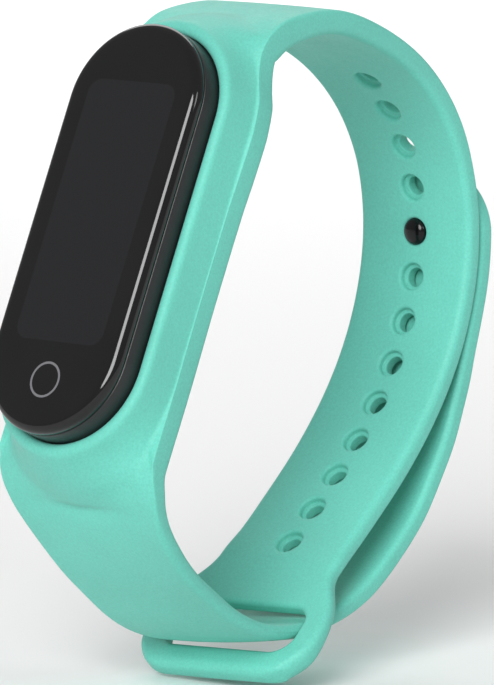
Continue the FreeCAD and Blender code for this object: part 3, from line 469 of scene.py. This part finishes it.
# the cradle: seat with its inside bead, rim, and outside faired down into the straps
bot, top, bp, tp, bz, tz = strip.patch_loops(i_cr0, i_cr1)
n = len(bot)
loops = [bot]
def ref_of(s):
    return np.where(np.abs(s) <= CRADLE_END, 1.4 + 0.1 * np.clip(s / CRADLE_END, -1, 1),
                    np.interp(np.abs(s), [CRADLE_END, CR], [1.45, 1.3]))
def cradle_ring(rx, re, level, base=None, f=0.0, bzv=None, inner=False):
    dirs = bp if base is None else base
    p = ray_shape(stadium(rx, re), np.zeros(2), dirs)
    z = level - ref_of(p[:, 0])
    if base is not None and f > 0:
        p = p * (1 - f) + base * f
        z = z * (1 - f) + bzv * f
    # the capsule's seat and wall are straight; they fair into the bending straps below
    bent = place(p[:, 0], p[:, 1], z)
    lift = z + ref_of(p[:, 0])
    straight = CRADLE_O[None] + p[:, :1] * CU + lift[:, None] * CN
    straight = np.stack([p[:, 0] * 0 + p[:, 1], straight[:, 0], straight[:, 1]], -1)
    g = float(f) if inner else float(1 - ease(3.1, 6.9, level))
    return B.add(straight * (1 - g) + bent * g)
for f in (0.8, 0.6, 0.4, 0.2, 0.06):
    loops.append(cradle_ring(9.62, 9.62, 0.0, bp, f, bz, inner=True))
for rx, z in ((9.52, 0.0), (9.38, 0.03), (9.25, 0.10), (9.16, 0.22), (9.13, 0.38), (9.13, 1.6), (9.13, 2.9), (9.12, 3.25), (9.05, 3.36),
              (8.85, 3.42), (8.72, 3.52), (8.68, 3.7), (8.68, 4.1), (8.72, 4.28), (8.85, 4.38), (9.05, 4.44), (9.12, 4.55), (9.13, 5.2),
              (9.13, 6.7), (9.16, 6.95), (9.25, 7.16), (9.40, 7.30), (9.60, 7.38), (9.80, 7.40)):
    loops.append(cradle_ring(rx, rx, z, inner=True))
for rx, re, z in ((10.0, 10.05, 7.38), (10.2, 10.30, 7.31), (10.36, 10.52, 7.18), (10.48, 10.72, 6.98), (10.55, 10.88, 6.70), (10.60, 11.05, 6.2),
                  (10.66, 11.25, 5.6), (10.72, 11.5, 5.0), (10.78, 11.8, 4.45), (10.83, 12.15, 3.98), (10.87, 12.55, 3.6), (10.90, 12.95, 3.32)):
    k = float(np.interp(z, [3.3, 7.4], [1.0, 0.0])) ** 2 * 0.25
    loops.append(cradle_ring(rx, re, z, tp, k, tz + 0.0) if k > 0.01 else cradle_ring(rx, re, z, tp, 0.0, tz))
for f in (0.45, 0.7, 0.88):
    loops.append(cradle_ring(10.92, 13.2, 3.18, tp, f, tz))
loops.append(top)
B.tube(loops)

# the keeper's slot
bot, top, bp, tp, bz, tz = strip.patch_loops(i_k0, i_k1)
loops = [bot]
cen = np.array([K0 + SLOT_LONG / 2, 0.0])
SR = 2.3
def slot_ring(grow, z, base, f=0.0, bzv=None):
    p = ray_shape(round_rect(cen[0], SLOT_LONG / 2 + grow, SLOT_HALF + grow, SR + grow), cen, base - cen)
    if np.isscalar(z):
        z = np.full(len(p), z)
    if f > 0:
        p = p * (1 - f) + base * f; z = z * (1 - f) + bzv * f
    return B.add(place(p[:, 0], p[:, 1], z))
def off(ps, which):
    w, a, b = section(ps)
    return -a if which == "in" else b - 0.1
def slot_z(base, which, grow):
    p = ray_shape(round_rect(cen[0], SLOT_LONG / 2 + grow, SLOT_HALF + grow, SR + grow), cen, base - cen)
    return off(p[:, 0], which)
for f in (0.66, 0.33):
    loops.append(slot_ring(0.72, slot_z(bp, "in", 0.72), bp, f, bz))
R = 0.62
for ph in np.linspace(0, math.pi / 2, 7):
    g = R * (1 - math.sin(ph))
    loops.append(slot_ring(g, slot_z(bp, "in", g) + R * (1 - math.cos(ph)), bp))
for ph in np.linspace(math.pi / 2, 0, 7):
    g = R * (1 - math.sin(ph))
    loops.append(slot_ring(g, slot_z(tp, "out", g) - R * (1 - math.cos(ph)), tp))
for f in (0.33, 0.66):
    loops.append(slot_ring(0.72, slot_z(tp, "out", 0.72), tp, f, tz))
loops.append(top)
B.tube(loops)
strip.faces()
strip.cap(len(st) - 1)
strip.cap(0)
band = B.mesh("band_moulding")

# ------------------------------------------------------------------ tail
TIP_R = 7.75
tail_end = -(CRADLE_END + P_len)
stud_arc = -(CRADLE_END + arc_of(P_line, P_tan, P_s, (29.30, STUD[1])))
TEND = stud_arc - TIP_R
start = SEAM + 0.9
ts = list(spaced(-start, -TEND - 7.75, 0.6)[:-1])
q = 7.75 * (1 - np.sin(np.linspace(0, math.pi / 2, 34)))
ts += list(-TEND - q)
ts = -np.array(ts)
def tail_shape(s, w, a, b, r1, r2):
    q = s - TEND
    if q < 7.75:
        w = max(0.42, math.sqrt(max(0.0, 7.75**2 - (7.75 - q)**2)))
    if q < 0.7:
        e = 0.62 * (1 - math.sqrt(max(0.0, 1 - (1 - q / 0.7)**2)))
        a, b = a - e, b - e
    if s > SEAM:                      # slides just inside the moulding at the seam
        w, a, b = w - 0.03, a - 0.03, b - 0.03
    return w, a, b, r1, r2
B2 = Build()
tstrip = Strip(B2, ts, 0.7, 0.5, tail_shape)
tstrip.faces()
tstrip.cap(0); tstrip.cap(len(ts) - 1)
tail = B2.mesh("tail_moulding")

def by_angle(o, deg):
    """Hard edges above an angle, so that flats stay flat."""
    import bmesh
    bm = bmesh.new(); bm.from_mesh(o.data)
    for e in bm.edges:
        if len(e.link_faces) == 2 and e.calc_face_angle(0.0) > math.radians(deg):
            e.smooth = False
    bm.to_mesh(o.data); bm.free()
by_angle(band, 62)
by_angle(tail, 62)

# ------------------------------------------------------------------ lathe-like pieces in a local frame
def frame_matrix(origin, up):
    """local z along up, local x along the row's X."""
    z = Vector(up).normalized(); x = Vector((1, 0, 0)); y = z.cross(x).normalized()
    m = Matrix((x, y, z)).transposed().to_4x4()
    m.translation = Vector(origin) * MM
    return m

def rings_piece(name, rings, matrix, outline, close_first=True, close_last=True):
    """Stacked outlines; rings is a list of (size, z)."""
    b = Build()
    loops = []
    for r, z in rings:
        p = outline(r)
        loops.append(b.add(np.stack([p[:, 0], p[:, 1], np.full(len(p), z)], 1)))
    b.tube(loops)
    for flag, loop in ((close_first, loops[0]), (close_last, loops[-1])):
        if flag:
            b.f.append(tuple(int(k) for k in loop))
    o = b.mesh(name)
    o.data.transform(matrix)
    return o

def circle(r, n=96):
    t = np.linspace(0, 2 * math.pi, n, endpoint=False)
    return np.stack([r * np.cos(t), r * np.sin(t)], 1)

def pill(r, c=14.4, n=48, m=40):
    a = np.linspace(0, math.pi, n)
    top = np.stack([r * np.cos(a), c + r * np.sin(a)], 1)
    left = np.stack([np.full(m, -r), np.linspace(c, -c, m + 2)[1:-1]], 1)
    return np.concatenate([top, left, -top, -left])

def bevel(r0, z0, r1, z1, steps=5):
    """Quarter round from (r0, z0) to (r1, z1), leaving r0 level first."""
    t = np.linspace(0, math.pi / 2, steps + 1)
    return [(r0 + (r1 - r0) * math.sin(k), z0 + (z1 - z0) * (1 - math.cos(k))) for k in t]

CAP = frame_matrix((0, CRADLE_O[0], CRADLE_O[1]), (0, CN[0], CN[1]))
# local y of CAP: z cross x
assert abs((CAP.to_3x3() @ Vector((0, 1, 0))).z - UZ) < 1e-6

shell_rings = [(7.2, -0.9), (7.9, -0.9)] + bevel(8.15, -0.9, 9.05, 0.0, 7) + [(9.05, 1.6), (9.05, 3.30), (9.03, 3.38), (8.95, 3.42), (8.66, 3.44),
    (8.62, 3.48), (8.62, 4.32), (8.66, 4.36), (8.95, 4.38), (9.03, 4.42), (9.05, 4.5), (9.05, 7.0), (9.05, 9.25), (9.03, 9.34), (8.96, 9.40), (8.80, 9.42), (8.78, 9.5)]
shell = rings_piece("shell_body", shell_rings, CAP, pill)
glass_rings = [(8.78, 9.50), (8.84, 9.52), (8.98, 9.54), (9.04, 9.62), (9.05, 9.8), (9.05, 10.0)] + bevel(9.05, 10.0, 9.05, 10.0, 1)[:0]
for k in np.linspace(0, math.pi / 2, 10)[1:]:
    glass_rings.append((9.05 - 1.05 * (1 - math.cos(k)), 10.0 + 0.93 * math.sin(k)))
glass_rings += [(7.0, 10.945), (5.5, 10.965), (4.0, 10.98), (2.5, 10.99), (1.0, 10.995), (0.2, 10.997)]
glass = rings_piece("display_cover", glass_rings, CAP, pill)

WIN = CAP @ Matrix.Translation(Vector((0, 2.0, 0)) * MM)
win_rings = [(4.0, -0.2), (4.10, -0.5), (4.12, -0.80), (4.08, -0.87), (3.98, -0.90), (3.6, -0.915), (2.4, -0.93), (1.2, -0.94), (0.3, -0.942)]
window = rings_piece("sensor_lens", win_rings, WIN, circle)
pads = []
for sx in (-3.0, 3.0):
    m = CAP @ Matrix.Translation(Vector((sx, -10.9, 0)) * MM)
    pads.append(rings_piece("charge_pad_%s" % ("left" if sx < 0 else "right"),
                            [(1.0, 0.2), (1.04, -0.6), (1.04, -0.84), (1.0, -0.90), (0.9, -0.92), (0.5, -0.915), (0.15, -0.91)], m, circle))

# cut shallow seats for the window and the pads into the shell's back
def carve(target, radius, centre, depth):
    m = CAP @ Matrix.Translation(Vector((centre[0], centre[1], 0)) * MM)
    c = rings_piece("carve_tool", [(radius, -2.0), (radius, -0.9 + depth)], m, circle)
    mod = target.modifiers.new("carve", "BOOLEAN"); mod.object = c; mod.operation = "DIFFERENCE"; mod.solver = "EXACT"
    dg = bpy.context.evaluated_depsgraph_get()
    me = bpy.data.meshes.new_from_object(target.evaluated_get(dg))
    target.modifiers.clear(); old = target.data; target.data = me
    bpy.data.meshes.remove(old)
    bpy.data.objects.remove(c)
carve(shell, 4.2, (0, 2.0), 0.7)
carve(shell, 1.12, (-3.0, -10.9), 0.5)
carve(shell, 1.12, (3.0, -10.9), 0.5)
for p in shell.data.polygons:
    p.use_smooth = True
by_angle(shell, 35); by_angle(window, 50)

# stud: low domed head inside the hole, shank, and a round cap outside
SF = frame_matrix((0, STUD[0], STUD[1]), (0, 1, 0))
stud_rings = [(0.04, -0.648), (0.25, -0.640), (0.45, -0.618), (0.65, -0.580), (0.84, -0.525), (1.02, -0.450), (1.18, -0.360), (1.32, -0.250), (1.43, -0.130),
              (1.50, 0.0), (1.535, 0.12), (1.54, 0.30), (1.50, 0.48), (1.42, 0.60), (1.25, 0.68), (1.02, 0.71), (0.96, 0.76), (0.95, 1.2), (0.95, 4.2)]
stud = rings_piece("stud_body", stud_rings, SF, circle)
cap_rings = [(3.2, 4.2), (3.74, 4.25), (3.80, 4.5), (3.80, 4.78)] + [(3.80 - 0.35 * (1 - math.cos(k)), 4.78 + 0.33 * math.sin(k)) for k in np.linspace(0, math.pi / 2, 7)[1:]]
cap_rings += [(3.2, 5.115), (3.0, 5.10), (2.9, 5.06), (2.8, 5.04), (2.2, 5.05), (1.4, 5.065), (0.6, 5.075), (0.1, 5.078)]
cap = rings_piece("stud_button", cap_rings, SF, circle)

# ------------------------------------------------------------------ materials
def material(name):
    m = bpy.data.materials.new(name)
    m.use_nodes = True
    nt = m.node_tree
    for n in list(nt.nodes):
        nt.nodes.remove(n)
    out = nt.nodes.new("ShaderNodeOutputMaterial")
    p = nt.nodes.new("ShaderNodeBsdfPrincipled")
    nt.links.new(p.outputs[0], out.inputs[0])
    return m, nt, p

def noise(nt, scale, detail=3.0, rough=0.55, coord="Object"):
    c = nt.nodes.new("ShaderNodeTexCoord")
    n = nt.nodes.new("ShaderNodeTexNoise")
    n.inputs["Scale"].default_value = scale
    n.inputs["Detail"].default_value = detail
    n.inputs["Roughness"].default_value = rough
    nt.links.new(c.outputs[coord], n.inputs["Vector"])
    return n.outputs["Fac"]

def ramp(nt, src, stops):
    r = nt.nodes.new("ShaderNodeValToRGB")
    while len(r.color_ramp.elements) < len(stops):
        r.color_ramp.elements.new(0.5)
    for e, (p, c) in zip(r.color_ramp.elements, stops):
        e.position = p
        e.color = (c[0], c[1], c[2], 1) if len(c) == 3 else c
    nt.links.new(src, r.inputs["Fac"])
    return r.outputs["Color"]

def rng(nt, src, lo, hi, a=0.3, b=0.7):
    r = nt.nodes.new("ShaderNodeMapRange")
    r.inputs["From Min"].default_value = a; r.inputs["From Max"].default_value = b
    r.inputs["To Min"].default_value = lo; r.inputs["To Max"].default_value = hi
    nt.links.new(src, r.inputs["Value"])
    return r.outputs["Result"]

def bump(nt, p, src, strength, distance, prev=None):
    b = nt.nodes.new("ShaderNodeBump")
    b.inputs["Strength"].default_value = strength
    b.inputs["Distance"].default_value = distance
    nt.links.new(src, b.inputs["Height"])
    if prev is not None:
        nt.links.new(prev, b.inputs["Normal"])
    nt.links.new(b.outputs["Normal"], p.inputs["Normal"])
    return b.outputs["Normal"]

def silicone(name, base):
    m, nt, p = material(name)
    big = noise(nt, 60.0, 3.0)
    c = np.array(base)
    col = ramp(nt, big, [(0.30, c * 0.955), (0.70, np.minimum(c * 1.045, 1.0))])
    grain = noise(nt, 3800.0, 2.0, 0.6)
    mix = nt.nodes.new("ShaderNodeMix"); mix.data_type = "RGBA"; mix.blend_type = "MULTIPLY"
    mix.inputs["Factor"].default_value = 1.0
    sp = ramp(nt, grain, [(0.32, (0.93, 0.93, 0.93)), (0.68, (1.05, 1.05, 1.05))])
    nt.links.new(col, mix.inputs[6]); nt.links.new(sp, mix.inputs[7])
    nt.links.new(mix.outputs[2], p.inputs["Base Color"])
    nt.links.new(rng(nt, noise(nt, 900.0, 3.0), 0.50, 0.62), p.inputs["Roughness"])
    p.inputs["IOR"].default_value = 1.42
    p.inputs["Specular IOR Level"].default_value = 0.42
    p.inputs["Subsurface Weight"].default_value = 0.18
    p.inputs["Subsurface Radius"].default_value = (0.8, 1.0, 0.9)
    p.inputs["Subsurface Scale"].default_value = 0.0012
    p.inputs["Sheen Weight"].default_value = 0.06
    p.inputs["Sheen Roughness"].default_value = 0.5
    n1 = bump(nt, p, noise(nt, 5200.0, 3.0, 0.6), 0.22, 0.00002)
    bump(nt, p, noise(nt, 420.0, 2.0, 0.5), 0.10, 0.00006, n1)
    return m

def plain(name, base, rough, metallic=0.0, scale=700.0, vary=0.06, bumpy=0.15, dist=0.00002, coat=0.0, spec=0.5, ior=1.5, alpha=1.0):
    m, nt, p = material(name)
    c = np.array(base)
    col = ramp(nt, noise(nt, scale * 0.3, 3.0), [(0.3, c * (1 - vary)), (0.7, np.minimum(c * (1 + vary), 1.0))])
    nt.links.new(col, p.inputs["Base Color"])
    nt.links.new(rng(nt, noise(nt, scale, 3.0), rough * 0.85, min(1.0, rough * 1.2)), p.inputs["Roughness"])
    p.inputs["Metallic"].default_value = metallic
    p.inputs["Specular IOR Level"].default_value = spec
    p.inputs["IOR"].default_value = ior
    if coat:
        p.inputs["Coat Weight"].default_value = coat
        p.inputs["Coat Roughness"].default_value = 0.04
    if bumpy:
        bump(nt, p, noise(nt, scale * 4, 3.0, 0.6), bumpy, dist)
    return m

TEAL = (0.143, 0.560, 0.462)
M_SIL = silicone("mint_silicone", TEAL)
M_STUD = plain("stud_black", (0.004, 0.004, 0.0045), 0.16, 0.0, 1500.0, 0.1, 0.03, 0.000005, spec=0.32)
M_SHELL = plain("shell_satin", (0.012, 0.012, 0.013), 0.38, 0.0, 1600.0, 0.12, 0.25, 0.00001)
M_GOLD = plain("contact_gold", (0.83, 0.58, 0.24), 0.22, 1.0, 1200.0, 0.05, 0.08, 0.000006)
M_WIN = plain("sensor_tint", (0.006, 0.006, 0.009), 0.06, 0.0, 900.0, 0.1, 0.0, 0, coat=0.8)

def glass_material():
    m, nt, p = material("cover_glass")
    a = nt.nodes.new("ShaderNodeAttribute"); a.attribute_name = "pill_xy"
    sep = nt.nodes.new("ShaderNodeSeparateXYZ")
    nt.links.new(a.outputs["Vector"], sep.inputs[0])
    def math_node(op, x, y=None, z=None):
        n = nt.nodes.new("ShaderNodeMath"); n.operation = op
        for k, v in enumerate((x, y, z)):
            if v is None:
                continue
            if isinstance(v, (int, float)):
                n.inputs[k].default_value = v
            else:
                nt.links.new(v, n.inputs[k])
        return n.outputs[0]
    X, Y = sep.outputs[0], sep.outputs[1]
    # the display's window, a shade lighter than the printed border
    qx = math_node("SUBTRACT", math_node("ABSOLUTE", X), 4.6)
    qy = math_node("SUBTRACT", math_node("ABSOLUTE", math_node("SUBTRACT", Y, 1.6)), 13.3)
    mx = math_node("MAXIMUM", qx, 0.0); my = math_node("MAXIMUM", qy, 0.0)
    dist = math_node("SUBTRACT", math_node("SQRT", math_node("ADD", math_node("MULTIPLY", mx, mx), math_node("MULTIPLY", my, my))), 1.6)
    win = math_node("LESS_THAN", dist, 0.0)
    # the touch key's ring
    dy = math_node("SUBTRACT", Y, -17.6)
    rr = math_node("SQRT", math_node("ADD", math_node("MULTIPLY", X, X), math_node("MULTIPLY", dy, dy)))
    ring = math_node("LESS_THAN", math_node("ABSOLUTE", math_node("SUBTRACT", rr, 1.9)), 0.13)
    n = noise(nt, 90.0, 2.0)
    base = ramp(nt, n, [(0.3, (0.0035, 0.0035, 0.0040)), (0.7, (0.0050, 0.0050, 0.0056))])
    m1 = nt.nodes.new("ShaderNodeMix"); m1.data_type = "RGBA"
    nt.links.new(win, m1.inputs["Factor"]); nt.links.new(base, m1.inputs[6]); m1.inputs[7].default_value = (0.0085, 0.0088, 0.0100, 1)
    m2 = nt.nodes.new("ShaderNodeMix"); m2.data_type = "RGBA"
    nt.links.new(ring, m2.inputs["Factor"]); nt.links.new(m1.outputs[2], m2.inputs[6]); m2.inputs[7].default_value = (0.16, 0.16, 0.17, 1)
    nt.links.new(m2.outputs[2], p.inputs["Base Color"])
    nt.links.new(rng(nt, noise(nt, 160.0, 4.0), 0.045, 0.085), p.inputs["Roughness"])
    p.inputs["IOR"].default_value = 1.5
    return m
inv = CAP.inverted()
co = np.array([(inv @ v.co)[:] for v in glass.data.vertices]) / MM
att = glass.data.attributes.new("pill_xy", "FLOAT_VECTOR", "POINT")
att.data.foreach_set("vector", co.astype(np.float32).ravel())
M_GLASS = glass_material()

for o, m in ((band, M_SIL), (tail, M_SIL), (shell, M_SHELL), (glass, M_GLASS), (window, M_WIN), (stud, M_STUD), (cap, M_STUD),
             (pads[0], M_GOLD), (pads[1], M_GOLD)):
    o.data.materials.clear(); o.data.materials.append(m)

# inner pieces that stay as CAD nodes
INNER = {
    "display_glue": ((0.02, 0.02, 0.02), 0.6, 0.0), "display_panel": ((0.01, 0.01, 0.014), 0.15, 0.0), "display_chassis": ((0.10, 0.10, 0.11), 0.5, 0.0),
    "display_flex": ((0.45, 0.20, 0.03), 0.35, 0.0), "display_socket": ((0.62, 0.58, 0.46), 0.5, 0.0), "main_board": ((0.01, 0.09, 0.04), 0.35, 0.0),
    "radio_processor": ((0.02, 0.02, 0.022), 0.5, 0.0), "flash_memory": ((0.02, 0.02, 0.022), 0.5, 0.0), "motion_sensor": ((0.03, 0.03, 0.03), 0.5, 0.0),
    "charge_controller": ((0.02, 0.02, 0.022), 0.5, 0.0), "touch_controller": ((0.02, 0.02, 0.022), 0.5, 0.0), "clock_crystal": ((0.7, 0.7, 0.68), 0.3, 1.0),
    "shield_can": ((0.7, 0.7, 0.68), 0.35, 1.0), "board_screws": ((0.5, 0.5, 0.5), 0.35, 1.0), "battery": ((0.6, 0.6, 0.62), 0.4, 1.0),
    "battery_foam": ((0.02, 0.02, 0.02), 0.9, 0.0), "battery_leads": ((0.6, 0.45, 0.25), 0.35, 1.0), "battery_socket": ((0.62, 0.58, 0.46), 0.5, 0.0),
    "light_barrier": ((0.015, 0.015, 0.015), 0.9, 0.0), "photodiode": ((0.03, 0.02, 0.04), 0.2, 0.0), "pulse_leds": ((0.4, 0.6, 0.3), 0.25, 0.0),
    "sensor_board": ((0.01, 0.09, 0.04), 0.35, 0.0), "sensor_flex_strip": ((0.45, 0.20, 0.03), 0.35, 0.0), "contact_seals": ((0.02, 0.02, 0.02), 0.7, 0.0),
    "contact_springs": ((0.83, 0.58, 0.24), 0.25, 1.0), "antenna": ((0.72, 0.35, 0.18), 0.3, 1.0), "motor_case": ((0.6, 0.6, 0.6), 0.3, 1.0),
    "motor_foam": ((0.02, 0.02, 0.02), 0.9, 0.0), "motor_shaft": ((0.5, 0.5, 0.5), 0.3, 1.0), "motor_weight": ((0.25, 0.25, 0.26), 0.45, 1.0)}
for name, (c, r, metal) in INNER.items():
    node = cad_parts[name]
    m = plain("inner_" + name, c, r, metal, 900.0, 0.10, 0.1, 0.00001)
    if not node.data.materials:
        node.data.materials.append(m)
    for k in range(len(node.material_slots)):
        node.material_slots[k].material = m

# ------------------------------------------------------------------ onto the frame
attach(band, "band")
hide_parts("cradle", "hole_strap", "keeper_loop", "pin_strap", "worn_hole_lip", "cradle_lip")
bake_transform(tail)
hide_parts("strap_tail")
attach(stud, "tail"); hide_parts("stud_pin")
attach(cap, "tail"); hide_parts("stud_cap")
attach(shell, "tracker"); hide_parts("capsule_shell")
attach(glass, "tracker"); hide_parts("display_glass")
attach(window, "tracker"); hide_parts("sensor_window")
for p in pads:
    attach(p, "tracker")
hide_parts("charging_contacts")

# ------------------------------------------------------------------ stage, light, camera
lowz = CAD_BOX[0][2]
me = bpy.data.meshes.new("floor")
R = 6.0
me.from_pydata([(-R, -R, 0), (R, -R, 0), (R, R, 0), (-R, R, 0)], [], [(0, 1, 2, 3)])
floor = bpy.data.objects.new("floor", me)
bpy.context.scene.collection.objects.link(floor)
floor.location = (0, 0, lowz - 0.0002)
fm, fnt, fp = material("floor_pale")
fp.inputs["Base Color"].default_value = (0.88, 0.88, 0.88, 1)
fp.inputs["Roughness"].default_value = 0.9
fp.inputs["Specular IOR Level"].default_value = 0.1
floor.data.materials.append(fm)

world = bpy.data.worlds.new("studio"); bpy.context.scene.world = world
world.use_nodes = True
world.node_tree.nodes["Background"].inputs[0].default_value = (1, 1, 1, 1)
world.node_tree.nodes["Background"].inputs[1].default_value = 0.34

AZ, EL = math.radians(40.80), math.radians(7.93)
backv = Vector((math.sin(AZ) * math.cos(EL), -math.cos(AZ) * math.cos(EL), math.sin(EL)))
right = Vector((math.cos(AZ), math.sin(AZ), 0))
target = Vector((0, -0.0032, -0.0026))
def area(name, where, size, power, aim=(0, 0, 0)):
    l = bpy.data.lights.new(name, "AREA"); l.shape = "DISK"; l.size = size; l.energy = power
    o = bpy.data.objects.new(name, l); bpy.context.scene.collection.objects.link(o)
    o.location = where
    o.rotation_euler = (Vector(aim) - Vector(where)).to_track_quat("-Z", "Y").to_euler()
    return o
area("highlight", backv * 0.50 + right * 0.42 + Vector((0, 0, 0.30)), 0.22, 0.55)
area("backdrop", Vector((-backv.x * 1.5, -backv.y * 1.5, 0.9)), 1.6, 14.0, (-backv.x * 1.5, -backv.y * 1.5, 0))
sun = bpy.data.lights.new("key", "SUN"); sun.energy = 2.85; sun.angle = math.radians(34)
so = bpy.data.objects.new("key", sun); bpy.context.scene.collection.objects.link(so)
SA, SE = math.radians(23), math.radians(28)
toward = Vector((math.sin(SA) * math.cos(SE), -math.cos(SA) * math.cos(SE), math.sin(SE)))
so.location = toward * 1.0
so.rotation_euler = (-toward).to_track_quat("-Z", "Y").to_euler()

cam = bpy.data.cameras.new("camera")
cam.sensor_fit = "AUTO"; cam.sensor_width = 36.0
cam.lens = 9.072 * 800.0 * 36.0 / 685.0
cam.clip_start = 0.01; cam.clip_end = 50
co_ = bpy.data.objects.new("camera", cam)
bpy.context.scene.collection.objects.link(co_)
co_.location = target + backv * 0.8
co_.rotation_euler = (-backv).to_track_quat("-Z", "Y").to_euler()
bpy.context.scene.camera = co_
bpy.context.scene.view_settings.view_transform = "Standard"
